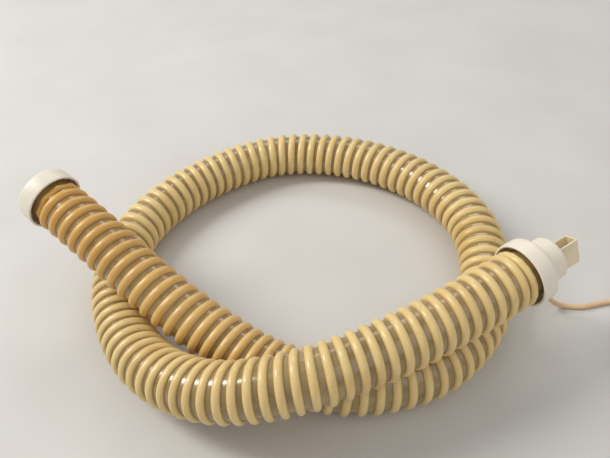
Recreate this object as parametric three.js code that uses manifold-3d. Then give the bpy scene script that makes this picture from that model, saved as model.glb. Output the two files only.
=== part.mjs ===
// A long flexible tube lamp that lies in a loop: a ribbed translucent hose with a string of small
// bulbs inside, a pull-off cap on one end and a stepped terminal with a hanging eye on the other.
// Millimetres, +Z up. The origin is under the middle of the lamp, on the surface that it lies on.

import * as THREE from 'three';
import { mergeVertices } from 'three/addons/utils/BufferGeometryUtils.js';
import Module from 'manifold-3d';

const manifold = await Module();
manifold.setup();

// ---- Driving dimensions ----

const GAP = 0.3;                 // between pieces that touch

const HOSE_RADIUS = 30;          // to the crest of the ribs
const HOSE_BORE = 25;            // inner radius
const HOSE_SIDES = 16;
const HOSE_RING_PITCH = 30;      // between the rings of the faceted wall

// The hose's centre line, from the capped end to the terminal. It slopes down from the raised end
// over its own loop, runs right round on the surface, and climbs onto itself at the front.
const HOSE_ROUTE = [
  [-276, -3, 130], [-213, -47, 109], [-149, -92, 82], [-82, -132, 55], [-9, -167, 37],
  [72, -180, 30], [150, -157, 30], [205, -96, 30], [225, -16, 30], [218, 66, 30],
  [177, 136, 30], [112, 188, 30], [35, 215, 30], [-47, 213, 30], [-119, 174, 30],
  [-176, 114, 30], [-210, 39, 30], [-209, -43, 30], [-178, -119, 34], [-125, -180, 47],
  [-54, -215, 68], [27, -211, 85], [103, -180, 92], [174, -139, 98], [242, -93, 104],
];

// Arc lengths along the hose where it changes from one body to the next.
const LEFT_BEND = [180, 320];
const RIGHT_BEND = [1620, 1760];
const LOOP_SECTIONS = 10;

const CAP_RADIUS = 34;
const CAP_LENGTH = 22;
const CAP_OVERLAP = 12;          // how far the cap reaches along the hose
const CAP_WALL = 2.6;
const RIM_CLEARANCE = 1.4;       // between the ribs and either rim's bore
const CAP_EDGE = 4;              // rounding of the outer edge

const TERMINAL_OVERLAP = 10;
const SKIRT_LENGTH = 20;
const SHOULDER_EDGE = 5;
const NECK_RADIUS = 23;
const NECK_END = 43;             // from the rim
const NECK_EDGE = 3;
const NECK_FILLET = 2.5;
const TERMINAL_WALL = 2.5;

const EYE_LENGTH = 29;
const EYE_WIDTH = 16.5;
const EYE_HEIGHT = 25;
const EYE_WALL = 2;
const EYE_ROLL = THREE.MathUtils.degToRad(-22);
const EYE_OFFSET = [-2.5, -3];   // sideways and up from the terminal's axis
const EYE_HOLE_RADIUS = 1.6;
const EYE_HOLE_DEPTH = 4.5;      // below the eye's top edge

const BULB_COUNT = 12;
const FIRST_BULB = 90;           // arc length of the first holder
const BULB_PITCH = 164;
const BULB_SIDES = 10;
const SOCKET_RADIUS = 7;
const SOCKET_LENGTH = 13;
const HOLDER_REACH = 23;         // radius of the arms' tips
const HOLDER_THICKNESS = 3;
const BULB_LIFT = 2;             // the bulb's contact above the socket's foot

const LEAD_DROP = 18;            // the inner lead runs this far below the hose's centre
const LEAD_START = 84;
const LEAD_WIDTH = 5;
const LEAD_THICKNESS = 2.6;
const LEAD_RING_PITCH = 32;

const CORD_DIAMETER = 5.5;
const CORD_SIDES = 8;
const CORD_RING_PITCH = 11;
const RELIEF_LENGTH = 23;
const RELIEF_CORE = 3.5;         // radius where it passes through the housing
const RELIEF_SEAT = 20;          // from the rim along the terminal's axis
const RELIEF_OFFSET = 30;        // below the terminal's axis
const RELIEF_DIP = THREE.MathUtils.degToRad(44);

// The cord from the end of its strain relief down to the surface, and on to the switch.
const CORD_DROP = [
  [266.7, -76.1, 60], [272.8, -71.8, 53.8], [280, -66, 43], [286, -60, 31.5], [292, -55, 20.5],
  [299, -51.5, 11], [308, -50, 5], [319, -50.5, 3],
];
const CORD_RUN = [
  [319, -50.5, 3], [331, -51, 2.9], [343, -48.5, 2.9], [355, -45, 2.9], [366, -42.5, 3.2],
  [375, -41, 4.8], [384, -40, 8], [392, -40, 9],
];
const CORD_LINK = [
  [452.2, -40, 9], [460, -40.7, 8.5], [469, -44.6, 6.6], [476.5, -53, 5], [481, -62, 4.2],
  [482.5, -72, 3.95], [482.5, -82.5, 3.95],
];
const CORD_TAIL = [
  [428.6, -136.5, 12], [421.5, -137.4, 9.8], [414.5, -139.2, 7.5], [407, -139.5, 6.9],
];

const COIL_CENTRE = [448.75, -102.75];
const COIL_INNER = 20;
const COIL_OUTER = 36.5;
const COIL_HEIGHT = 16.5;
const COIL_BASE = 1.2;            // the tie passes underneath
const COIL_SIDES = 28;

const SWITCH_CENTRE = [422, -40];
const SWITCH_LENGTH = 60;
const SWITCH_WIDTH = 26;
const SWITCH_HEIGHT = 18;
const SWITCH_WALL = 2;
const ROCKER_LENGTH = 22;
const ROCKER_WIDTH = 11;

const PLUG_REAR = [407, -139.5];
const PLUG_LENGTH = 36;
const PLUG_WIDTH = 35;
const PLUG_HEIGHT = 13.8;
const PIN_RADIUS = 2;
const PIN_LENGTH = 19;
const PIN_SPACING = 18.6;

// ---- Materials ----

function plastic(color, roughness) {
  return new THREE.MeshStandardMaterial({ color, roughness, metalness: 0 });
}

const MATERIALS = {
  hose: plastic(0xdcbf86, 0.3),
  cap: plastic(0xf1ead8, 0.45),
  eye: plastic(0xe2d2ae, 0.45),
  cord: plastic(0xd9bd92, 0.5),
  tie: plastic(0x3a2f26, 0.5),
  lead: plastic(0xe8e0cc, 0.5),
  glass: plastic(0xf4efe2, 0.1),
  metal: new THREE.MeshStandardMaterial({ color: 0xc9c6bd, roughness: 0.3, metalness: 1 }),
};

// ---- Shared shapes ----

const lamp = new THREE.Group();
const UP = new THREE.Vector3(0, 0, 1);

function vector([x, y, z]) {
  return new THREE.Vector3(x, y, z);
}

function add(name, geometry, material) {
  const mesh = new THREE.Mesh(geometry, material);
  mesh.name = name;
  lamp.add(mesh);
  return mesh;
}

function toSolid(geometry) {
  const bare = geometry.clone();
  bare.deleteAttribute('normal');
  bare.deleteAttribute('uv');
  const merged = mergeVertices(bare, 1e-4);
  return new manifold.Manifold(new manifold.Mesh({
    numProp: 3,
    vertProperties: new Float32Array(merged.attributes.position.array),
    triVerts: new Uint32Array(merged.index.array),
  }));
}

function toGeometry(solid) {
  const { vertProperties, triVerts } = solid.getMesh();
  const geometry = new THREE.BufferGeometry();
  geometry.setAttribute('position', new THREE.BufferAttribute(vertProperties, 3));
  geometry.setIndex(new THREE.BufferAttribute(triVerts, 1));
  return geometry;
}

// A solid of revolution about +Z from [radius, z] pairs.
function turned(profile, sides) {
  const points = profile.map(([radius, z]) => new THREE.Vector2(radius, z));
  return new THREE.LatheGeometry(points, sides).rotateX(Math.PI / 2);
}

// An outline given as [x, y] pairs, extruded along +Z from z = 0.
function prism(outline, depth) {
  const shape = new THREE.Shape(outline.map(([x, y]) => new THREE.Vector2(x, y)));
  return new THREE.ExtrudeGeometry(shape, { depth, bevelEnabled: false });
}

// A quarter round of [radius, z] points about a centre, between two angles in degrees.
function arc(cx, cz, radius, from, to, steps) {
  const points = [];
  for (let i = 0; i <= steps; i += 1) {
    const angle = THREE.MathUtils.degToRad(from + ((to - from) * i) / steps);
    points.push([cx + radius * Math.cos(angle), cz + radius * Math.sin(angle)]);
  }
  return points;
}

function roundedRectangle(length, width, radius, steps) {
  const x = length / 2 - radius;
  const y = width / 2 - radius;
  return [
    ...arc(x, y, radius, 0, 90, steps),
    ...arc(-x, y, radius, 90, 180, steps),
    ...arc(-x, -y, radius, 180, 270, steps),
    ...arc(x, -y, radius, 270, 360, steps),
  ];
}

function circle(radius, sides) {
  return arc(0, 0, radius, 0, 360 - 360 / sides, sides - 1).map(([x, y]) => new THREE.Vector2(x, y));
}

function swept(shape, path, ringPitch) {
  const steps = Math.max(1, Math.round(path.getLength() / ringPitch));
  return new THREE.ExtrudeGeometry(shape, { steps, extrudePath: path });
}

// ---- The hose's centre line ----

// A spline through the route's points that never dips below the surface.
class HoseLine extends THREE.CatmullRomCurve3 {
  getPoint(t, target = new THREE.Vector3()) {
    const point = super.getPoint(t, target);
    point.z = Math.max(point.z, HOSE_RADIUS);
    return point;
  }
}

const hoseLine = new HoseLine(HOSE_ROUTE.map(vector), false, 'centripetal');
hoseLine.arcLengthDivisions = 2400;
const HOSE_LENGTH = hoseLine.getLength();

// The axes at an arc length: Z along the hose, Y as near to upwards as it goes.
function hoseFrame(distance) {
  const u = THREE.MathUtils.clamp(distance / HOSE_LENGTH, 0, 1);
  const along = hoseLine.getTangentAt(u);
  const side = new THREE.Vector3().crossVectors(UP, along).normalize();
  const upward = new THREE.Vector3().crossVectors(along, side);
  const frame = new THREE.Matrix4().makeBasis(side, upward, along);
  return frame.setPosition(hoseLine.getPointAt(u));
}

// Part of the hose's line, or of a line that runs a set distance below it.
class Stretch extends THREE.Curve {
  constructor(from, to, drop = 0) {
    super();
    this.from = from;
    this.to = to;
    this.drop = drop;
  }

  getPoint(t, target = new THREE.Vector3()) {
    const distance = this.from + (this.to - this.from) * t;
    return target.set(0, -this.drop, 0).applyMatrix4(hoseFrame(distance));
  }
}

function place(mesh, frame) {
  frame.decompose(mesh.position, mesh.quaternion, mesh.scale);
}

// ---- Hose ----

function hoseSection(name, from, to) {
  const wall = new THREE.Shape(circle(HOSE_RADIUS, HOSE_SIDES));
  wall.holes.push(new THREE.Path(circle(HOSE_BORE, HOSE_SIDES)));
  const path = new Stretch(from + GAP / 2, to - GAP / 2);
  add(name, swept(wall, path, HOSE_RING_PITCH), MATERIALS.hose);
}

function addHose() {
  hoseSection('hose_left_end', 0, LEFT_BEND[0]);
  hoseSection('hose_left_bend', ...LEFT_BEND);
  const sectionLength = (RIGHT_BEND[0] - LEFT_BEND[1]) / LOOP_SECTIONS;
  for (let i = 0; i < LOOP_SECTIONS; i += 1) {
    const from = LEFT_BEND[1] + i * sectionLength;
    hoseSection(`hose_loop_${String(i + 1).padStart(2, '0')}`, from, from + sectionLength);
  }
  hoseSection('hose_right_bend', ...RIGHT_BEND);
  hoseSection('hose_right_end', RIGHT_BEND[1], HOSE_LENGTH);
}

// ---- String of bulbs ----

function bulbGeometry() {
  return turned([
    [0, 0], [2.2, 0.2], [4.7, 2], [4.7, 11], [5.6, 13.5], [7.4, 19], [7.2, 24], [4.6, 28.6], [0, 30.5],
  ], BULB_SIDES);
}

// A socket cup on a cross of four arms that keep it in the middle of the hose.
function holderGeometry() {
  const cup = turned([
    [0, 0], [SOCKET_RADIUS, 0], [SOCKET_RADIUS, SOCKET_LENGTH], [5.2, SOCKET_LENGTH], [5.2, 1.5], [0, 1.5],
  ], BULB_SIDES);
  let holder = toSolid(cup);
  for (let i = 0; i < 4; i += 1) {
    const start = SOCKET_RADIUS - 1.2;
    const arm = new THREE.BoxGeometry(HOLDER_REACH - start, 5, HOLDER_THICKNESS);
    arm.translate((HOLDER_REACH + start) / 2, 0, HOLDER_THICKNESS / 2 + 1);
    arm.rotateZ(Math.PI / 4 + (i * Math.PI) / 2);
    holder = holder.add(toSolid(arm));
  }
  return toGeometry(holder);
}

function addBulbs() {
  const bulb = bulbGeometry();
  const holder = holderGeometry();
  for (let i = 0; i < BULB_COUNT; i += 1) {
    const number = String(i + 1).padStart(2, '0');
    const frame = hoseFrame(FIRST_BULB + i * BULB_PITCH);
    place(add(`bulb_holder_${number}`, holder, MATERIALS.lead), frame);
    const seat = new THREE.Matrix4().makeTranslation(0, 0, BULB_LIFT);
    place(add(`bulb_${number}`, bulb, MATERIALS.glass), frame.clone().multiply(seat));
  }
}

function leadSection(name, from, to) {
  const outline = roundedRectangle(LEAD_THICKNESS, LEAD_WIDTH, LEAD_THICKNESS / 2 - 0.01, 2);
  const shape = new THREE.Shape(outline.map(([x, y]) => new THREE.Vector2(x, y)));
  const path = new Stretch(from + GAP / 2, to - GAP / 2, LEAD_DROP);
  add(name, swept(shape, path, LEAD_RING_PITCH), MATERIALS.lead);
}

function addLeads() {
  leadSection('inner_lead_left_end', LEAD_START, LEFT_BEND[0]);
  leadSection('inner_lead_left_bend', ...LEFT_BEND);
  leadSection('inner_lead_loop', LEFT_BEND[1], RIGHT_BEND[0]);
  leadSection('inner_lead_right_bend', ...RIGHT_BEND);
  leadSection('inner_lead_right_end', RIGHT_BEND[1], HOSE_LENGTH);
}

// ---- End cap ----

// A shallow cup over the hose's end with a ring inside that grips the bore. The rim faces +Z.
function addEndCap() {
  const bore = HOSE_RADIUS + RIM_CLEARANCE;
  const ring = HOSE_BORE - 1;
  const profile = [
    [0, 0],
    ...arc(CAP_RADIUS - CAP_EDGE, CAP_EDGE, CAP_EDGE, -90, 0, 3),
    [CAP_RADIUS, CAP_LENGTH],
    [bore, CAP_LENGTH],
    [bore, CAP_WALL],
    [ring, CAP_WALL],
    [ring, CAP_LENGTH - 2],
    [ring - CAP_WALL, CAP_LENGTH - 2],
    [ring - CAP_WALL, CAP_WALL],
    [0, CAP_WALL],
  ];
  const frame = hoseFrame(CAP_OVERLAP / 2);
  const seat = new THREE.Matrix4().makeTranslation(0, 0, CAP_OVERLAP / 2 - CAP_LENGTH);
  place(add('end_cap', turned(profile, 32), MATERIALS.cap), frame.multiply(seat));
}

// ---- Terminal ----

// The axes at the terminal's rim: Z outwards along the terminal.
function terminalFrame() {
  const frame = hoseFrame(HOSE_LENGTH - TERMINAL_OVERLAP / 2);
  return frame.multiply(new THREE.Matrix4().makeTranslation(0, 0, -TERMINAL_OVERLAP / 2));
}

// The axes at the cord's exit: Z outwards along the strain relief, obliquely down.
function exitFrame() {
  const seat = new THREE.Matrix4().makeTranslation(0, -RELIEF_OFFSET, RELIEF_SEAT);
  const tilt = new THREE.Matrix4().makeRotationX(RELIEF_DIP);
  return terminalFrame().multiply(seat).multiply(tilt);
}

function addTerminalHousing() {
  const bore = HOSE_RADIUS + RIM_CLEARANCE;
  const cavity = NECK_RADIUS - TERMINAL_WALL;
  const corner = CAP_RADIUS - SHOULDER_EDGE;
  const shell = turned([
    [bore, 0],
    [CAP_RADIUS, 0],
    ...arc(corner, SKIRT_LENGTH - SHOULDER_EDGE, SHOULDER_EDGE, 0, 90, 4),
    ...arc(NECK_RADIUS + NECK_FILLET, SKIRT_LENGTH + NECK_FILLET, NECK_FILLET, 270, 180, 2),
    ...arc(NECK_RADIUS - NECK_EDGE, NECK_END - NECK_EDGE, NECK_EDGE, 0, 90, 3),
    [0, NECK_END],
    [0, NECK_END - TERMINAL_WALL],
    [cavity, NECK_END - TERMINAL_WALL],
    [cavity, SKIRT_LENGTH - TERMINAL_WALL],
    [corner, SKIRT_LENGTH - TERMINAL_WALL],
    [bore, SKIRT_LENGTH - SHOULDER_EDGE],
    [bore, 0],
  ], 36);
  const hole = new THREE.CylinderGeometry(RELIEF_CORE + GAP, RELIEF_CORE + GAP, 30, 12).rotateX(Math.PI / 2);
  hole.rotateX(RELIEF_DIP).translate(0, -RELIEF_OFFSET, RELIEF_SEAT);
  const housing = toSolid(shell).subtract(toSolid(hole));
  place(add('terminal_housing', toGeometry(housing), MATERIALS.cap), terminalFrame());
}

// The block in the neck that joins the cord to the inner lead.
function addTerminalBlock() {
  const block = new THREE.BoxGeometry(22, 12, 14);
  const seat = new THREE.Matrix4().makeTranslation(0, 2, NECK_END - TERMINAL_WALL - 9);
  place(add('terminal_block', block, MATERIALS.lead), terminalFrame().multiply(seat));
}

// A box-shaped loop, open above and below, with its lower outer corner cut off and a small hole
// through its end wall.
function addHangingEye() {
  const outer = prism(roundedRectangle(EYE_WIDTH, EYE_LENGTH, 2.5, 3), EYE_HEIGHT);
  const holeLength = EYE_LENGTH - EYE_WALL - 3;
  const hole = prism(roundedRectangle(EYE_WIDTH - 2 * EYE_WALL, holeLength, 1, 1), EYE_HEIGHT + 4);
  hole.translate(0, (3 - EYE_WALL) / 2, -2);
  const corner = new THREE.BoxGeometry(EYE_WIDTH + 4, 10, 10).rotateX(Math.PI / 4);
  corner.translate(0, EYE_LENGTH / 2 + 1.6, EYE_HEIGHT + 1.6);
  const bore = new THREE.CylinderGeometry(EYE_HOLE_RADIUS, EYE_HOLE_RADIUS, 4 * EYE_WALL, 12);
  bore.translate(0, EYE_LENGTH / 2, EYE_HOLE_DEPTH);
  const eye = toSolid(outer).subtract(toSolid(hole)).subtract(toSolid(corner)).subtract(toSolid(bore));
  const geometry = toGeometry(eye).translate(0, EYE_LENGTH / 2, -EYE_HEIGHT / 2);
  geometry.rotateX(Math.PI / 2);
  const turn = new THREE.Matrix4().makeRotationZ(EYE_ROLL);
  geometry.translate(...EYE_OFFSET, NECK_END + GAP);
  place(add('hanging_eye', geometry, MATERIALS.eye), terminalFrame().multiply(turn));
}

function addStrainRelief() {
  const tip = CORD_DIAMETER / 2 + 0.5;
  const profile = [
    [0, -6], [RELIEF_CORE, -6], [RELIEF_CORE, 1.5], [RELIEF_CORE + 1, 1.5], [RELIEF_CORE + 1, 3.2],
    [RELIEF_CORE + 0.4, 3.8], [tip, RELIEF_LENGTH], [0, RELIEF_LENGTH],
  ];
  place(add('strain_relief', turned(profile, 14), MATERIALS.cord), exitFrame());
}

// ---- Power cord ----

function cordSection(name, points) {
  const path = new THREE.CatmullRomCurve3(points.map(vector), false, 'centripetal');
  const length = path.getLength();
  const inner = new THREE.Curve();
  inner.getPoint = (t, target) => path.getPointAt((GAP + (length - 2 * GAP) * t) / length, target);
  const section = new THREE.Shape(circle(CORD_DIAMETER / 2, CORD_SIDES));
  add(name, swept(section, inner, CORD_RING_PITCH), MATERIALS.cord);
}

function addCord() {
  cordSection('cord_drop', CORD_DROP);
  cordSection('cord_run', CORD_RUN);
  cordSection('cord_link', CORD_LINK);
  cordSection('cord_tail', CORD_TAIL);
}

function addCoil() {
  const bulge = 2;
  const profile = [
    [COIL_INNER, bulge], [COIL_INNER + bulge, 0], [COIL_OUTER - bulge, 0], [COIL_OUTER, bulge],
    [COIL_OUTER, COIL_HEIGHT - bulge], [COIL_OUTER - bulge, COIL_HEIGHT],
    [COIL_INNER + bulge, COIL_HEIGHT], [COIL_INNER, COIL_HEIGHT - bulge], [COIL_INNER, bulge],
  ];
  const coil = add('cord_coil', turned(profile, COIL_SIDES), MATERIALS.cord);
  coil.position.set(...COIL_CENTRE, COIL_BASE);
  const width = COIL_OUTER - COIL_INNER;
  const outer = new THREE.BoxGeometry(width + 2.4, 5, COIL_HEIGHT + 2.4);
  const inner = new THREE.BoxGeometry(width + 0.8, 9, COIL_HEIGHT + 0.8);
  const tie = toGeometry(toSolid(outer).subtract(toSolid(inner)));
  const reach = (COIL_INNER + COIL_OUTER) / 2;
  add('cord_tie', tie, MATERIALS.tie)
    .position.set(COIL_CENTRE[0] - reach, COIL_CENTRE[1], COIL_BASE + COIL_HEIGHT / 2);
}

// ---- Switch on the cord ----

function switchShell(height, opening) {
  const outer = prism(roundedRectangle(SWITCH_LENGTH, SWITCH_WIDTH, 7, 4), height);
  const inner = prism(roundedRectangle(
    SWITCH_LENGTH - 2 * SWITCH_WALL, SWITCH_WIDTH - 2 * SWITCH_WALL, 5, 3), height);
  inner.translate(0, 0, SWITCH_WALL);
  let shell = toSolid(outer).subtract(toSolid(inner));
  if (opening) {
    const slot = new THREE.BoxGeometry(ROCKER_LENGTH + 1.2, ROCKER_WIDTH + 1.2, 4 * SWITCH_WALL);
    shell = shell.subtract(toSolid(slot));
  }
  return toGeometry(shell);
}

function addSwitch() {
  const half = (SWITCH_HEIGHT - GAP) / 2;
  add('switch_base', switchShell(half, false), MATERIALS.eye).position.set(...SWITCH_CENTRE, 0);
  const cover = add('switch_cover', switchShell(half, true), MATERIALS.eye);
  cover.rotation.x = Math.PI;
  cover.position.set(...SWITCH_CENTRE, SWITCH_HEIGHT);
  const outline = [
    [-ROCKER_LENGTH / 2, 3], [-ROCKER_LENGTH / 2 + 1, -1], [ROCKER_LENGTH / 2 - 1, -1],
    [ROCKER_LENGTH / 2, 0], [0, 1.2],
  ];
  const rocker = prism(outline, ROCKER_WIDTH).rotateX(Math.PI / 2);
  rocker.translate(0, ROCKER_WIDTH / 2, 0);
  add('switch_rocker', rocker, MATERIALS.cap).position.set(...SWITCH_CENTRE, SWITCH_HEIGHT);
}

// ---- Plug ----

function addPlug() {
  const [rear, y] = PLUG_REAR;
  const half = PLUG_WIDTH / 2;
  const outline = [
    [0, -5], [0, 5], [-6, 8], [-14, half], [-PLUG_LENGTH, half], [-PLUG_LENGTH, -half],
    [-14, -half], [-6, -8],
  ];
  add('plug_body', prism(outline, PLUG_HEIGHT), MATERIALS.eye).position.set(rear, y, 0);
  const pin = turned([
    [0, 0], [PIN_RADIUS, 0], [PIN_RADIUS, PIN_LENGTH - 1.5], [1, PIN_LENGTH], [0, PIN_LENGTH],
  ], 12).rotateY(-Math.PI / 2);
  for (const [name, side] of [['plug_pin_left', -1], ['plug_pin_right', 1]]) {
    const mesh = add(name, pin, MATERIALS.metal);
    mesh.position.set(rear - PLUG_LENGTH - GAP, y + (side * PIN_SPACING) / 2, PLUG_HEIGHT / 2);
  }
}

addHose();
addBulbs();
addLeads();
addEndCap();
addTerminalHousing();
addTerminalBlock();
addHangingEye();
addStrainRelief();
addCord();
addCoil();
addSwitch();
addPlug();

export default lamp;
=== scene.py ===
# The looks of a flexible tube lamp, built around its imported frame. Metres, +Z up, in the frame's axes.
import math

import bmesh
import bpy
import numpy as np
from mathutils import Matrix, Vector


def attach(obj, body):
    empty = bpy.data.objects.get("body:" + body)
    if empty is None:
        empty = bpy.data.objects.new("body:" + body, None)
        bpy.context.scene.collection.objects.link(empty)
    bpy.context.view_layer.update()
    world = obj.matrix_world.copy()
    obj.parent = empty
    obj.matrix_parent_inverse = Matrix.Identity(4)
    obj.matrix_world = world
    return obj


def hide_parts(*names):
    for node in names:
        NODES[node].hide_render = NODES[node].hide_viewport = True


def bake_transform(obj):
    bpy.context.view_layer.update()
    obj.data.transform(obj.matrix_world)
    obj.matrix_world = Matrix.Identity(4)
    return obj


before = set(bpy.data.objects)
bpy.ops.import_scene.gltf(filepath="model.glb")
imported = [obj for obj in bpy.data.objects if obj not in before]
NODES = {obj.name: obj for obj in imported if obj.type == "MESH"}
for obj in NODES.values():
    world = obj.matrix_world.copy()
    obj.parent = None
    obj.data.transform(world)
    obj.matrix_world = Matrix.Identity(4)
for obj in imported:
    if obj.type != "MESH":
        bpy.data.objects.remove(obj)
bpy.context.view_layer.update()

UP = np.array([0.0, 0.0, 1.0])

# ---- Driving dimensions ----

HOSE_RADIUS = 0.030          # to the crest of the ribs
HOSE_SMOOTH_STEPS = 90       # between two points of its route
WEB_RADIUS = 0.0258          # outside of the thin wall between the ribs
WEB_THICKNESS = 0.001
WEB_SIDES = 56
WEB_STEP = 0.0034            # between the rings of the wall

# The hose's centre line, from the capped end to the terminal, as in the CAD source.
HOSE_ROUTE = [
    (-0.276, -0.003, 0.130), (-0.213, -0.047, 0.109), (-0.149, -0.092, 0.082), (-0.082, -0.132, 0.055),
    (-0.009, -0.167, 0.037), (0.072, -0.180, 0.030), (0.150, -0.157, 0.030), (0.205, -0.096, 0.030),
    (0.225, -0.016, 0.030), (0.218, 0.066, 0.030), (0.177, 0.136, 0.030), (0.112, 0.188, 0.030),
    (0.035, 0.215, 0.030), (-0.047, 0.213, 0.030), (-0.119, 0.174, 0.030), (-0.176, 0.114, 0.030),
    (-0.210, 0.039, 0.030), (-0.209, -0.043, 0.030), (-0.178, -0.119, 0.034), (-0.125, -0.180, 0.047),
    (-0.054, -0.215, 0.068), (0.027, -0.211, 0.085), (0.103, -0.180, 0.092), (0.174, -0.139, 0.098),
    (0.242, -0.093, 0.104),
]
# Where each end bends away from the loop, by arc length from the capped end.
BEND_SPANS = {"left": (0.180, 0.320), "right": (1.620, 1.760)}
LEFT_CUT = 0.380             # where one hose piece hands over to the next
RIGHT_CUT = 1.580

# The vinyl's share of ochre: most at the capped end, falling over this length to the least.
AGED_LENGTH = 0.42
AGED_FALL = 0.95
AGED_LEAST = 0.06
AGED_POWER = 0.8

# The spiral's pitch by arc length: open where the hose is stretched, closed up where it is bunched, and
# nearly flat in the first and last turns, beside the rims.
RIB_PITCH = [
    (0.000, 0.0030), (0.018, 0.0030), (0.020, 0.0155), (0.200, 0.0160), (0.300, 0.0140), (0.500, 0.0145),
    (0.720, 0.0180), (0.850, 0.0165), (1.000, 0.0150), (1.100, 0.0160), (1.180, 0.0150), (1.320, 0.0175),
    (1.450, 0.0150), (1.580, 0.0150), (1.660, 0.0130), (1.800, 0.0143), (1.961, 0.0145), (1.963, 0.0055),
    (2.000, 0.0055),
]
RIB_START = -0.1             # of a turn, where the spiral begins at the capped end
RIB_TAPER = 10               # rings over which the spiral's ends run out
RIB_TIP = 0.15               # how blunt they end, as the angle where the taper's sine begins
RIB_SHARE = 0.335            # of the pitch, the rib's half width
RIB_HALF_WIDTHS = (0.0046, 0.0058)
RIB_CREST = 0.0047           # height of the rib's crest over its middle line
RIB_FOOT = 0.0020            # depth of its foot under the middle line
RIB_STEPS = 44               # to a turn
RIB_SECTION = 12             # corners of the rib's section
PITCH_SAMPLES = 4000         # for adding up the turns

CAP_RADIUS = 0.034
CAP_LENGTH = 0.022
CAP_OVERLAP = 0.012
CAP_WALL = 0.0026
CAP_EDGE = 0.004
CAP_DRAFT = 0.0008           # narrower at the outer face than at the rim
RIM_BORE = 0.0314            # inside of both rims
LIP = 0.0009                 # rounding of both rims
PLUG_RING_RADIUS = 0.024     # outside of the cap's ring that sits in the hose's bore
PLUG_RING_RECESS = 0.002     # from the rim down to the ring's end
TERMINAL_OVERLAP = 0.010
TERMINAL_WALL = 0.0025
SKIRT_LENGTH = 0.020
SHOULDER_EDGE = 0.005
NECK_RADIUS = 0.023
NECK_END = 0.043
NECK_EDGE = 0.003
NECK_FILLET = 0.0025
LEFT_RIM_GAP = 0.0036        # between a rim and the middle of the nearest rib
RIGHT_RIM_GAP = 0.0026
TURNED_SIDES = 96
LIP_STEPS = 4                # to each rounding
NECK_FILLET_STEPS = 6
NECK_EDGE_STEPS = 8
CORNER_STEPS = 10

LEAD_START = 0.084           # arc length where the lead inside the hose begins, by the first bulb's socket
LEAD_DROP = 0.018            # below the hose's middle
LEAD_RADIUS = 0.0013
LEAD_SIDES = 8
LEAD_STEP = 0.008

CORD_DIAMETER = 0.0055
CORD_SIDES = 14
CORD_SMOOTH_STEPS = 12       # between two points of its line
CORD_STEP = 0.003
COIL_CENTRE = (0.44875, -0.10275)
COIL_RADII = (0.02275, 0.02825, 0.03375)
COIL_LEVELS = (0.00395, 0.00945, 0.01495)
# The coil's turns, each as its places in COIL_RADII and COIL_LEVELS. The cord comes in at the bottom of the
# outside and leaves at the top of it.
COIL_TURNS = [(2, 0), (1, 0), (0, 0), (0, 1), (0, 2), (1, 2), (1, 1), (2, 1), (2, 2)]
COIL_STEPS = 40              # to a turn
COIL_MOVE_START = 0.66       # of a turn, where it starts to move over to the next turn's place

# The cord's route: from its strain relief to the floor, to the switch and through it to the coil.
CORD_ROUTE = [
    (0.2667, -0.0761, 0.060), (0.2728, -0.0718, 0.0538), (0.280, -0.066, 0.043), (0.286, -0.060, 0.0315),
    (0.292, -0.055, 0.0205), (0.299, -0.0515, 0.011), (0.308, -0.050, 0.005), (0.319, -0.0505, 0.003),
    (0.331, -0.051, 0.0029), (0.343, -0.0485, 0.0029), (0.355, -0.045, 0.0029), (0.366, -0.0425, 0.0032),
    (0.375, -0.041, 0.0048), (0.384, -0.040, 0.008), (0.392, -0.040, 0.009), (0.412, -0.040, 0.009),
    (0.432, -0.040, 0.009), (0.4522, -0.040, 0.009), (0.460, -0.0407, 0.0085), (0.469, -0.0446, 0.0066),
    (0.4765, -0.053, 0.005), (0.481, -0.062, 0.0042), (0.4825, -0.072, 0.00395), (0.4825, -0.0825, 0.00395),
]
# From the coil to the plug.
CORD_TAIL = [
    (0.438, -0.1365, 0.0142), (0.4286, -0.1365, 0.012), (0.4215, -0.1374, 0.0098), (0.4145, -0.1392, 0.0075),
    (0.407, -0.1395, 0.0069),
]

# Rounding of the moulded pieces' edges.
SOFT_EDGES = {
    "hanging_eye": 0.0005, "plug_body": 0.0018, "switch_base": 0.0009, "switch_cover": 0.0009,
    "switch_rocker": 0.0004, "cord_tie": 0.0003, "terminal_block": 0.0006,
}
SOFT_SEGMENTS = 3
FLAT_ANGLE = math.radians(1)     # faces that meet at less are joined before the rounding
EDGE_ANGLE = math.radians(12)    # edges between faces that meet at more are rounded
SHARP_ANGLE = math.radians(40)   # faces that meet at more are shaded with an edge between them

# Finishes of the CAD nodes that stay. The bulbs are glass, and what isn't named here is cream.
NODE_FINISHES = {
    "hanging_eye": "ivory", "strain_relief": "cord", "cord_tie": "rubber", "plug_body": "ivory",
    "plug_pin_left": "metal", "plug_pin_right": "metal", "switch_base": "ivory", "switch_cover": "ivory",
    "switch_rocker": "ivory",
}

FLOOR_HALF = 3.0             # half the floor's side

# ---- Camera ----

CAMERA_PLACE = (0.068, -0.528, 0.5557)
CAMERA_AIM = (0.0055, 0.0854, 0.0)
CAMERA_ROLL = math.radians(3.9)
CAMERA_LENS = 36.13          # mm on a 36 mm sensor


def aimed(place, target):
    """The transform of a camera or light at a place, turned to its target."""
    turn = (Vector(target) - Vector(place)).to_track_quat("-Z", "Y")
    return Matrix.Translation(place) @ turn.to_matrix().to_4x4()


def add_camera():
    data = bpy.data.cameras.new("camera")
    data.lens = CAMERA_LENS
    data.sensor_width = 36.0
    data.clip_start = 0.01
    camera = bpy.data.objects.new("camera", data)
    bpy.context.scene.collection.objects.link(camera)
    camera.matrix_world = aimed(CAMERA_PLACE, CAMERA_AIM) @ Matrix.Rotation(-CAMERA_ROLL, 4, "Z")
    bpy.context.scene.camera = camera


# ---- Lines ----

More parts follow.
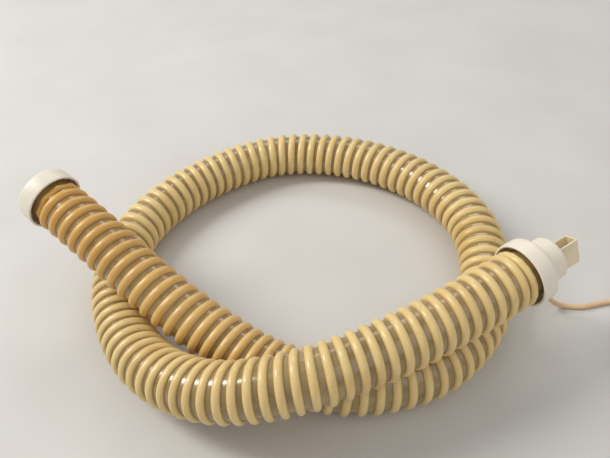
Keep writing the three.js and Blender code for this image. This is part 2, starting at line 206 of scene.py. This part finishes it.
def unit(v):
    return v / np.linalg.norm(v, axis=-1, keepdims=True)


def smooth(points, steps):
    """A centripetal Catmull-Rom curve through the points, as dense points."""
    p = np.array(points, float)
    p = np.vstack([2 * p[0] - p[1], p, 2 * p[-1] - p[-2]])
    out = []
    for p0, p1, p2, p3 in zip(p, p[1:], p[2:], p[3:]):
        d0, d1, d2 = (np.linalg.norm(b - a) ** 0.5 for a, b in ((p0, p1), (p1, p2), (p2, p3)))
        t1 = ((p1 - p0) / d0 - (p2 - p0) / (d0 + d1) + (p2 - p1) / d1) * d1
        t2 = ((p2 - p1) / d1 - (p3 - p1) / (d1 + d2) + (p3 - p2) / d2) * d1
        t = np.linspace(0, 1, steps, endpoint=False)[:, None]
        c2 = -3 * p1 + 3 * p2 - 2 * t1 - t2
        c3 = 2 * p1 - 2 * p2 + t1 + t2
        out.append(p1 + t1 * t + c2 * t**2 + c3 * t**3)
    return np.vstack([*out, p[-2:-1]])


class Line:
    """A dense line measured by its length."""

    def __init__(self, points):
        self.points = np.array(points, float)
        steps = np.linalg.norm(np.diff(self.points, axis=0), axis=1)
        self.at = np.concatenate([[0.0], np.cumsum(steps)])
        self.length = float(self.at[-1])

    def place(self, s):
        return np.stack([np.interp(s, self.at, self.points[:, i]) for i in range(3)], axis=-1)

    def frames(self, s, reach=0.002):
        """Middle, sideways, upward and forward directions at each arc length."""
        s = np.asarray(s, float)
        ahead = self.place(np.minimum(s + reach, self.length))
        along = unit(ahead - self.place(np.maximum(s - reach, 0)))
        side = unit(np.cross(UP, along))
        return self.place(s), side, np.cross(along, side), along


def hose_line():
    """The hose's centre line, never closer to the floor than its radius."""
    points = smooth(HOSE_ROUTE, HOSE_SMOOTH_STEPS)
    points[:, 2] = np.maximum(points[:, 2], HOSE_RADIUS)
    return Line(points)


# ---- Meshes ----

def new_piece(name, vertices, faces, material, smooth_shaded=True):
    mesh = bpy.data.meshes.new(name)
    mesh.from_pydata([tuple(v) for v in vertices], [], faces)
    mesh.validate()
    if smooth_shaded:
        mesh.polygons.foreach_set("use_smooth", [True] * len(mesh.polygons))
        mesh.set_sharp_from_angle(angle=SHARP_ANGLE)
    piece = bpy.data.objects.new(name, mesh)
    bpy.context.scene.collection.objects.link(piece)
    piece.data.materials.append(material)
    return piece


def tube_faces(rings, sides, first=0, flip=False):
    """Quads between rings of vertices that follow each other."""
    faces = []
    for i in range(rings - 1):
        a, b = first + i * sides, first + (i + 1) * sides
        for j in range(sides):
            k = (j + 1) % sides
            quad = (a + j, a + k, b + k, b + j)
            faces.append(quad[::-1] if flip else quad)
    return faces


def closed_tube_faces(rings, sides):
    """The same, with a face over each end."""
    last = (rings - 1) * sides
    ends = [tuple(range(sides))[::-1], tuple(last + j for j in range(sides))]
    return tube_faces(rings, sides) + ends


def set_number(piece, name, values):
    """A number on each vertex that a material can read."""
    attribute = piece.data.attributes.new(name, "FLOAT", "POINT")
    attribute.data.foreach_set("value", np.asarray(values, np.float32).ravel())


def swept_round(name, line, radius, material, sides, step):
    """A closed round tube along a whole line, and its ring centres."""
    count = max(2, int(round(line.length / step)) + 1)
    s = np.linspace(0, line.length, count)
    middle, side, upward, _ = line.frames(s, reach=0.001)
    angle = np.arange(sides) * 2 * math.pi / sides
    outward = np.cos(angle)[None, :, None] * side[:, None] + np.sin(angle)[None, :, None] * upward[:, None]
    rings = middle[:, None] + radius * outward
    return new_piece(name, rings.reshape(-1, 3), closed_tube_faces(count, sides), material), middle


def turned(name, profile, frame_at, material):
    """A solid of revolution about the frame's Z from (radius, z) pairs that start and end on the axis."""
    sides = TURNED_SIDES
    origin, x, y, z = frame_at
    angle = np.arange(sides) * 2 * math.pi / sides
    outward = np.cos(angle)[:, None] * x + np.sin(angle)[:, None] * y
    vertices, rows = [], []
    for radius, height in profile:
        if radius < 1e-7:
            rows.append([len(vertices)])
            vertices.append(origin + height * z)
        else:
            rows.append(list(range(len(vertices), len(vertices) + sides)))
            vertices.extend(origin + height * z + radius * outward)
    faces = []
    for a, b in zip(rows, rows[1:]):
        for j in range(sides):
            k = (j + 1) % sides
            corners = (a[j % len(a)], a[k % len(a)], b[k % len(b)], b[j % len(b)])
            faces.append(tuple(dict.fromkeys(corners)))
    piece = new_piece(name, vertices, faces, material)
    outward_faces(piece)
    return piece


def outward_faces(piece):
    """Turns every face outward."""
    work = bmesh.new()
    work.from_mesh(piece.data)
    bmesh.ops.recalc_face_normals(work, faces=work.faces)
    work.to_mesh(piece.data)
    work.free()


def arc(cx, cz, radius, start, end, steps):
    """Points of an arc between two angles in degrees, for a turned profile."""
    angles = [math.radians(start + (end - start) * i / steps) for i in range(steps + 1)]
    return [(cx + radius * math.cos(a), cz + radius * math.sin(a)) for a in angles]


# ---- Materials ----

class Paint:
    """A procedural material with one Principled shader."""

    def __init__(self, name, **sockets):
        self.material = bpy.data.materials.new(name)
        self.material.use_nodes = True
        self.tree = self.material.node_tree
        self.shader = self.tree.nodes["Principled BSDF"]
        for socket, value in sockets.items():
            self.shader.inputs[socket.replace("_", " ")].default_value = value
        self.coordinates = self.node("ShaderNodeTexCoord").outputs["Object"]

    def node(self, kind, **settings):
        node = self.tree.nodes.new(kind)
        for key, value in settings.items():
            setattr(node, key, value)
        return node

    def link(self, source, target):
        self.tree.links.new(source, target)

    def number(self, name):
        return self.node("ShaderNodeAttribute", attribute_name=name).outputs["Fac"]

    def noise(self, scale, detail, roughness=0.55):
        texture = self.node("ShaderNodeTexNoise")
        texture.inputs["Scale"].default_value = scale
        texture.inputs["Detail"].default_value = detail
        texture.inputs["Roughness"].default_value = roughness
        self.link(self.coordinates, texture.inputs["Vector"])
        return texture.outputs["Fac"]

    def ramp(self, source, *stops):
        """Colours by the source's value, each stop a position and a colour."""
        node = self.node("ShaderNodeValToRGB")
        elements = node.color_ramp.elements
        while len(elements) < len(stops):
            elements.new(0.5)
        for element, (position, colour) in zip(elements, stops):
            element.position = position
            element.color = (*colour, 1.0)
        self.link(source, node.inputs["Fac"])
        return node.outputs["Color"]

    def mix(self, share, a, b):
        """From colour a to colour b, each of them a colour or a socket."""
        node = self.node("ShaderNodeMix", data_type="RGBA")
        sockets = {"share": node.inputs[0], "a": node.inputs[6], "b": node.inputs[7]}
        self.link(share, sockets["share"])
        for key, value in (("a", a), ("b", b)):
            if isinstance(value, bpy.types.NodeSocket):
                self.link(value, sockets[key])
            else:
                sockets[key].default_value = (*value, 1.0)
        return node.outputs[2]

    def scaled(self, source, low, high, start=0.0, end=1.0):
        """From low to high as the source goes from start to end, and no further."""
        node = self.node("ShaderNodeMapRange")
        for socket, value in (("From Min", start), ("From Max", end), ("To Min", low), ("To Max", high)):
            node.inputs[socket].default_value = value
        self.link(source, node.inputs["Value"])
        return node.outputs["Result"]

    def colour(self, source):
        self.link(source, self.shader.inputs["Base Color"])

    def rough(self, source):
        self.link(source, self.shader.inputs["Roughness"])

    def bump(self, source, strength, distance):
        node = self.node("ShaderNodeBump")
        node.inputs["Strength"].default_value = strength
        node.inputs["Distance"].default_value = distance
        self.link(source, node.inputs["Height"])
        self.link(node.outputs["Normal"], self.shader.inputs["Normal"])


def srgb(red, green, blue):
    """Linear colour from 0-255 display values, none of them near black."""
    return tuple(((c / 255 + 0.055) / 1.055) ** 2.4 for c in (red, green, blue))


def rib_material():
    """Cream to ochre vinyl with painted shade at the ribs' feet and dark specks."""
    paint = Paint(
        "rib_vinyl", IOR=1.48, Coat_Weight=0.2, Coat_Roughness=0.12,
        Subsurface_Weight=0.12, Subsurface_Radius=(1.0, 0.6, 0.25), Subsurface_Scale=0.003,
    )
    cream = paint.ramp(
        paint.noise(9, 3),
        (0.3, srgb(222, 192, 126)), (0.55, srgb(232, 206, 142)), (0.75, srgb(210, 174, 106)),
    )
    ochre = paint.ramp(
        paint.noise(14, 3),
        (0.3, srgb(202, 150, 66)), (0.6, srgb(218, 168, 84)), (0.8, srgb(186, 134, 54)),
    )
    body = paint.mix(paint.number("aged"), cream, ochre)
    # Painted shade: the ribs' sides darken towards their feet, in the crease where they meet the wall.
    grime_and_shade = paint.scaled(paint.number("foot"), 0.7, 0.0, 0.0, 0.6)
    body = paint.mix(grime_and_shade, body, srgb(130, 94, 42))
    speck = paint.scaled(paint.noise(170, 2, 0.7), 0, 0.35, 0.66, 0.74)
    paint.colour(paint.mix(speck, body, srgb(150, 118, 70)))
    paint.rough(paint.scaled(paint.noise(60, 4), 0.3, 0.46))
    paint.bump(paint.noise(220, 3), 0.12, 0.0006)
    return paint.material


def web_material():
    """Smeared, half clear vinyl, greyer where it has aged less."""
    paint = Paint("web_vinyl", IOR=1.5, Transmission_Weight=0.2, Coat_Weight=0.7, Coat_Roughness=0.16)
    grey = paint.ramp(paint.noise(12, 3), (0.3, srgb(152, 126, 72)), (0.7, srgb(184, 158, 104)))
    tan = paint.ramp(paint.noise(12, 3), (0.3, srgb(164, 128, 68)), (0.7, srgb(198, 166, 108)))
    body = paint.mix(paint.number("aged"), grey, tan)
    smear = paint.scaled(paint.noise(70, 4), 0, 0.5, 0.5, 0.75)
    paint.colour(paint.mix(smear, body, srgb(104, 78, 38)))
    paint.rough(paint.scaled(paint.noise(90, 4), 0.16, 0.34))
    paint.bump(paint.noise(120, 3), 0.15, 0.0008)
    return paint.material


def plastic_material(name, light, dark, stain):
    """Moulded plastic, yellowed and stained in patches."""
    paint = Paint(name, IOR=1.49, Subsurface_Weight=0.06, Subsurface_Scale=0.002)
    body = paint.ramp(paint.noise(18, 3), (0.35, light), (0.7, dark))
    patch = paint.scaled(paint.noise(45, 5, 0.65), 0, 0.3, 0.55, 0.8)
    paint.colour(paint.mix(patch, body, stain))
    paint.rough(paint.scaled(paint.noise(80, 3), 0.34, 0.48))
    paint.bump(paint.noise(900, 2), 0.08, 0.0002)
    return paint.material


def cord_material():
    paint = Paint("cord_vinyl", IOR=1.48)
    body = paint.ramp(paint.noise(30, 3), (0.35, srgb(228, 196, 152)), (0.7, srgb(216, 180, 134)))
    grime_and_shade = paint.scaled(paint.noise(160, 4, 0.7), 0, 0.4, 0.55, 0.8)
    paint.colour(paint.mix(grime_and_shade, body, srgb(170, 132, 92)))
    paint.rough(paint.scaled(paint.noise(200, 3), 0.34, 0.5))
    paint.bump(paint.noise(700, 3), 0.12, 0.0003)
    return paint.material


def glass_material():
    paint = Paint("bulb_glass", IOR=1.45, Transmission_Weight=0.35)
    paint.colour(paint.ramp(paint.noise(120, 3), (0.3, srgb(240, 232, 214)), (0.7, srgb(226, 214, 188))))
    paint.rough(paint.scaled(paint.noise(300, 3), 0.25, 0.45))
    return paint.material


def metal_material():
    paint = Paint("plated_brass", Metallic=1.0)
    paint.colour(paint.ramp(paint.noise(200, 4), (0.4, srgb(205, 202, 192)), (0.8, srgb(176, 164, 138))))
    paint.rough(paint.scaled(paint.noise(400, 4), 0.18, 0.36))
    paint.bump(paint.noise(900, 2), 0.08, 0.0002)
    return paint.material


def rubber_material():
    paint = Paint("tie_rubber")
    paint.colour(paint.ramp(paint.noise(90, 4), (0.4, srgb(46, 42, 38)), (0.7, srgb(66, 60, 54))))
    paint.rough(paint.scaled(paint.noise(300, 3), 0.55, 0.75))
    paint.bump(paint.noise(600, 3), 0.2, 0.0004)
    return paint.material


# ---- Hose ----

def hose_age(s):
    """How far the vinyl has gone from cream to ochre: most at the capped end."""
    return np.clip(1.0 - s / AGED_LENGTH, 0, 1) ** AGED_POWER * AGED_FALL + AGED_LEAST


def hose_web(name, hose, start, end, material):
    """The thin wall between two arc lengths, with its middle line."""
    count = max(2, int(round((end - start) / WEB_STEP)) + 1)
    s = np.linspace(start, end, count)
    middle, side, upward, _ = hose.frames(s)
    angle = np.arange(WEB_SIDES) * 2 * math.pi / WEB_SIDES
    outward = np.cos(angle)[None, :, None] * side[:, None] + np.sin(angle)[None, :, None] * upward[:, None]
    outer = middle[:, None] + WEB_RADIUS * outward
    inner = middle[:, None] + (WEB_RADIUS - WEB_THICKNESS) * outward
    faces = tube_faces(count, WEB_SIDES) + tube_faces(count, WEB_SIDES, count * WEB_SIDES, flip=True)
    for ring, flip in ((0, True), ((count - 1) * WEB_SIDES, False)):
        a, b = ring, ring + count * WEB_SIDES
        for j in range(WEB_SIDES):
            k = (j + 1) % WEB_SIDES
            quad = (a + j, a + k, b + k, b + j)
            faces.append(quad[::-1] if flip else quad)
    vertices = np.concatenate([outer.reshape(-1, 3), inner.reshape(-1, 3)])
    piece = new_piece(name, vertices, faces, material)
    set_number(piece, "aged", np.tile(np.repeat(hose_age(s), WEB_SIDES), 2))
    outward_faces(piece)
    return piece, middle


def turns_to(s):
    """The spiral's turns from the capped end to each arc length."""
    at, pitch = np.array(RIB_PITCH).T
    dense = np.linspace(0, at[-1], PITCH_SAMPLES)
    rate = 1 / np.interp(dense, at, pitch)
    turns = np.concatenate([[0], np.cumsum((rate[1:] + rate[:-1]) / 2 * np.diff(dense))])
    return RIB_START + np.interp(s, dense, turns)


def hose_ribs(name, hose, start, end, material, tapered):
    """The rounded spiral rib between two arc lengths, left-handed. It tapers at its start, end or neither."""
    steps = max(2, int(round((turns_to(end) - turns_to(start)) * RIB_STEPS)) + 1)
    s = np.linspace(start, end, steps)
    turn = -2 * math.pi * turns_to(s)
    middle, side, upward, _ = hose.frames(s)
    outward = np.cos(turn)[:, None] * side + np.sin(turn)[:, None] * upward
    centre = middle + (HOSE_RADIUS - RIB_CREST) * outward
    forward = unit(np.gradient(centre, axis=0))
    across = unit(np.cross(forward, outward))
    angle = np.arange(RIB_SECTION) * 2 * math.pi / RIB_SECTION
    lift = np.where(np.sin(angle) > 0, RIB_CREST, RIB_FOOT) * np.sin(angle)
    at, pitch = np.array(RIB_PITCH).T
    half_width = np.clip(RIB_SHARE * np.interp(s, at, pitch), *RIB_HALF_WIDTHS)
    spread = half_width[:, None] * np.cos(angle)[None, :]
    size = np.ones(steps)
    run_out = np.sin(np.linspace(RIB_TIP, math.pi / 2, RIB_TAPER))
    if tapered == "start":
        size[:RIB_TAPER] = run_out
    elif tapered == "end":
        size[-RIB_TAPER:] = run_out[::-1]
    rings = centre[:, None] + size[:, None, None] * (
        spread[:, :, None] * across[:, None] + lift[None, :, None] * outward[:, None]
    )
    piece = new_piece(name, rings.reshape(-1, 3), closed_tube_faces(steps, RIB_SECTION), material)
    set_number(piece, "aged", np.repeat(hose_age(s), RIB_SECTION))
    set_number(piece, "foot", np.tile(np.clip(lift / RIB_CREST, 0, 1), steps))
    outward_faces(piece)
    return piece


def add_hose(hose):
    """The hose in three pieces of wall and rib, the middle one on the loop's body."""
    web, rib = web_material(), rib_material()
    rib_first = CAP_OVERLAP + LEFT_RIM_GAP
    rib_last = hose.length - TERMINAL_OVERLAP - RIGHT_RIM_GAP
    spans = {
        "left": (0.0, LEFT_CUT, rib_first, LEFT_CUT, "start"),
        "middle": (LEFT_CUT, RIGHT_CUT, LEFT_CUT, RIGHT_CUT, None),
        "right": (RIGHT_CUT, hose.length, RIGHT_CUT, rib_last, "end"),
    }
    stood_for = {
        "left": ["hose_left_end", "hose_left_bend"],
        "middle": [f"hose_loop_{i:02d}" for i in range(1, 11)],
        "right": ["hose_right_bend", "hose_right_end"],
    }
    for part, (start, end, rib_start, rib_end, tapered) in spans.items():
        wall, path = hose_web(f"hose_wall_{part}", hose, start, end, web)
        ribs = hose_ribs(f"hose_ribs_{part}", hose, rib_start, rib_end, rib, tapered)
        for piece in (wall, ribs):
            if part == "middle":
                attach(piece, "loop")
            else:
                bend = BEND_SPANS[part]
                hose.place(bend[0])
                hose.place(bend[1])
                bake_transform(piece)
        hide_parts(*stood_for[part])
        leaves = start if part != "right" else end
        hose.place(leaves)


def add_leads(hose, material):
    """The lead between the bulbs where the hose bends."""
    spans = {
        "left": (LEAD_START, BEND_SPANS["left"][1]),
        "right": (BEND_SPANS["right"][0], hose.length - LEAD_RADIUS),
    }
    for part, (start, end) in spans.items():
        s = np.arange(start, end, LEAD_STEP)
        middle, _, upward, _ = hose.frames(s)
        line = Line(middle - LEAD_DROP * upward)
        lead, _ = swept_round(f"inner_lead_{part}", line, LEAD_RADIUS, material, LEAD_SIDES, LEAD_STEP)
        bend = BEND_SPANS[part]
        hose.place(bend[0])
        hose.place(bend[1])
        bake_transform(lead)
        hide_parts(f"inner_lead_{part}_end", f"inner_lead_{part}_bend")


# ---- End cap and terminal ----

def frame_along(hose, s, shift):
    """Origin and axes at an arc length, moved along its own direction."""
    place, side, upward, along = (v[0] for v in hose.frames([s]))
    return place + shift * along, side, upward, along


def add_end_cap(hose, material):
    """A shallow cup with a ring in its middle that sits in the hose. Its outer face is at Z 0."""
    ring = PLUG_RING_RADIUS
    ring_end = CAP_LENGTH - PLUG_RING_RECESS
    profile = [
        (0, 0),
        *arc(CAP_RADIUS - CAP_DRAFT - CAP_EDGE, CAP_EDGE, CAP_EDGE, -90, 0, CORNER_STEPS),
        *arc(CAP_RADIUS - LIP, CAP_LENGTH - LIP, LIP, 0, 90, LIP_STEPS),
        *arc(RIM_BORE + LIP, CAP_LENGTH - LIP, LIP, 90, 180, LIP_STEPS),
        (RIM_BORE, CAP_WALL), (ring, CAP_WALL), (ring, ring_end),
        (ring - CAP_WALL, ring_end), (ring - CAP_WALL, CAP_WALL), (0, CAP_WALL),
    ]
    place = frame_along(hose, CAP_OVERLAP / 2, CAP_OVERLAP / 2 - CAP_LENGTH)
    cap = turned("cap_shell", profile, place, material)
    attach(cap, "end_cap")
    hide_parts("end_cap")


def add_terminal(hose, material):
    """A skirt over the hose's end, a rounded shoulder and a hollow neck. The rim is at Z 0."""
    corner = CAP_RADIUS - SHOULDER_EDGE
    cavity = NECK_RADIUS - TERMINAL_WALL
    ceiling = NECK_END - TERMINAL_WALL
    under_shoulder = SKIRT_LENGTH - TERMINAL_WALL
    profile = [
        (0, ceiling), (cavity, ceiling), (cavity, under_shoulder),
        (corner, under_shoulder), (RIM_BORE, SKIRT_LENGTH - SHOULDER_EDGE),
        *arc(RIM_BORE + LIP, LIP, LIP, 180, 270, LIP_STEPS),
        *arc(CAP_RADIUS - LIP, LIP, LIP, 270, 360, LIP_STEPS),
        *arc(corner, SKIRT_LENGTH - SHOULDER_EDGE, SHOULDER_EDGE, 0, 90, CORNER_STEPS),
        *arc(NECK_RADIUS + NECK_FILLET, SKIRT_LENGTH + NECK_FILLET, NECK_FILLET, 270, 180, NECK_FILLET_STEPS),
        *arc(NECK_RADIUS - NECK_EDGE, NECK_END - NECK_EDGE, NECK_EDGE, 0, 90, NECK_EDGE_STEPS),
        (0, NECK_END),
    ]
    place = frame_along(hose, hose.length - TERMINAL_OVERLAP / 2, -TERMINAL_OVERLAP / 2)
    shell = turned("terminal_shell", profile, place, material)
    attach(shell, "right_end")
    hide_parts("terminal_housing")


# ---- Power cord ----

def coil_point(radius, level, step):
    """A point of the coil, clockwise seen from above."""
    angle = -2 * math.pi * step / COIL_STEPS
    return (COIL_CENTRE[0] + radius * math.cos(angle), COIL_CENTRE[1] + radius * math.sin(angle), level)


def coil_points():
    """The coil's turns, each moving over to the next one's place at its end, and a last quarter turn."""
    points = []
    places = [(COIL_RADII[r], COIL_LEVELS[z]) for r, z in COIL_TURNS]
    for i, (radius, level) in enumerate(places):
        next_radius, next_level = places[min(i + 1, len(places) - 1)]
        for step in range(COIL_STEPS):
            move = np.clip((step / COIL_STEPS - COIL_MOVE_START) / (1 - COIL_MOVE_START), 0, 1)
            move = move * move * (3 - 2 * move)
            points.append(coil_point(
                radius + (next_radius - radius) * move, level + (next_level - level) * move, step,
            ))
    radius, level = places[-1]
    points.extend(coil_point(radius, level, step) for step in range(COIL_STEPS // 4 + 1))
    return points


def add_cord(material):
    """The whole cord as one piece. Gives its length."""
    line = Line(smooth([*CORD_ROUTE, *coil_points(), *CORD_TAIL], steps=CORD_SMOOTH_STEPS))
    cord, path = swept_round("power_cord", line, CORD_DIAMETER / 2, material, CORD_SIDES, CORD_STEP)
    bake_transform(cord)
    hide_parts("cord_drop", "cord_run", "cord_link", "cord_tail", "cord_coil")
    return line.length


# ---- Stage ----

def add_stage():
    """A plain, light floor."""
    corners = [(x * FLOOR_HALF, y * FLOOR_HALF, 0) for x, y in ((-1, -1), (1, -1), (1, 1), (-1, 1))]
    paint = Paint("floor_paint")
    paint.colour(paint.ramp(paint.noise(6, 2), (0.3, srgb(206, 203, 197)), (0.7, srgb(212, 210, 205))))
    paint.rough(paint.scaled(paint.noise(30, 2), 0.6, 0.7))
    floor = new_piece("floor", corners, [(0, 1, 2, 3)], paint.material, smooth_shaded=False)


def add_light(name, place, target, size, power, colour):
    data = bpy.data.lights.new(name, "AREA")
    data.shape = "RECTANGLE"
    data.size, data.size_y = size
    data.energy = power
    data.color = colour
    light = bpy.data.objects.new(name, data)
    bpy.context.scene.collection.objects.link(light)
    light.matrix_world = aimed(place, target)


def add_lights():
    """A window on the left, two weak fills and an even room."""
    add_light("window", (-2.1, 0.25, 2.0), (0, 0, 0), (0.7, 1.6), 56, (1.0, 0.985, 0.96))
    add_light("back", (0.1, 1.5, 1.5), (0, 0, 0), (1.6, 0.5), 7, (1.0, 0.98, 0.95))
    add_light("fill", (1.2, -1.0, 1.5), (0, 0, 0), (1.8, 1.8), 8, (1.0, 0.97, 0.93))
    world = bpy.data.worlds.new("room")
    world.use_nodes = True
    background = world.node_tree.nodes["Background"]
    background.inputs["Color"].default_value = (0.95, 0.96, 1.0, 1.0)
    background.inputs["Strength"].default_value = 0.45
    bpy.context.scene.world = world
    bpy.context.scene.view_settings.view_transform = "Standard"


def soften(node, width):
    """Rounds a CAD node's edges."""
    flat = node.modifiers.new("flat", "DECIMATE")
    flat.decimate_type = "DISSOLVE"
    flat.angle_limit = FLAT_ANGLE
    bevel = node.modifiers.new("edges", "BEVEL")
    bevel.width = width
    bevel.segments = SOFT_SEGMENTS
    bevel.limit_method = "ANGLE"
    bevel.angle_limit = EDGE_ANGLE
    bevel.harden_normals = True


def finish_nodes(finishes):
    """A finish and soft edges on the CAD nodes that stay."""
    for name, node in NODES.items():
        if node.hide_render:
            continue
        is_bulb = name.startswith("bulb_") and "holder" not in name
        finish = NODE_FINISHES.get(name, "glass" if is_bulb else "cream")
        node.data.materials.clear()
        node.data.materials.append(finishes[finish])
        if name in SOFT_EDGES:
            soften(node, SOFT_EDGES[name])


add_camera()
hose = hose_line()
cord = cord_material()
cord_length = add_cord(cord)
add_hose(hose)

cap = plastic_material("cap_plastic", srgb(240, 232, 215), srgb(232, 222, 202), srgb(212, 196, 160))
add_end_cap(hose, cap)
add_terminal(hose, cap)
ivory = plastic_material("ivory_plastic", srgb(232, 218, 186), srgb(218, 200, 160), srgb(190, 164, 118))
cream = plastic_material("holder_plastic", srgb(232, 224, 204), srgb(220, 208, 180), srgb(180, 160, 120))
add_leads(hose, cream)
finish_nodes({
    "cord": cord, "ivory": ivory, "cream": cream, "glass": glass_material(), "metal": metal_material(),
    "rubber": rubber_material(),
})

add_stage()
add_lights()

print("cord length", round(cord_length, 4), "hose length", round(hose.length, 4))
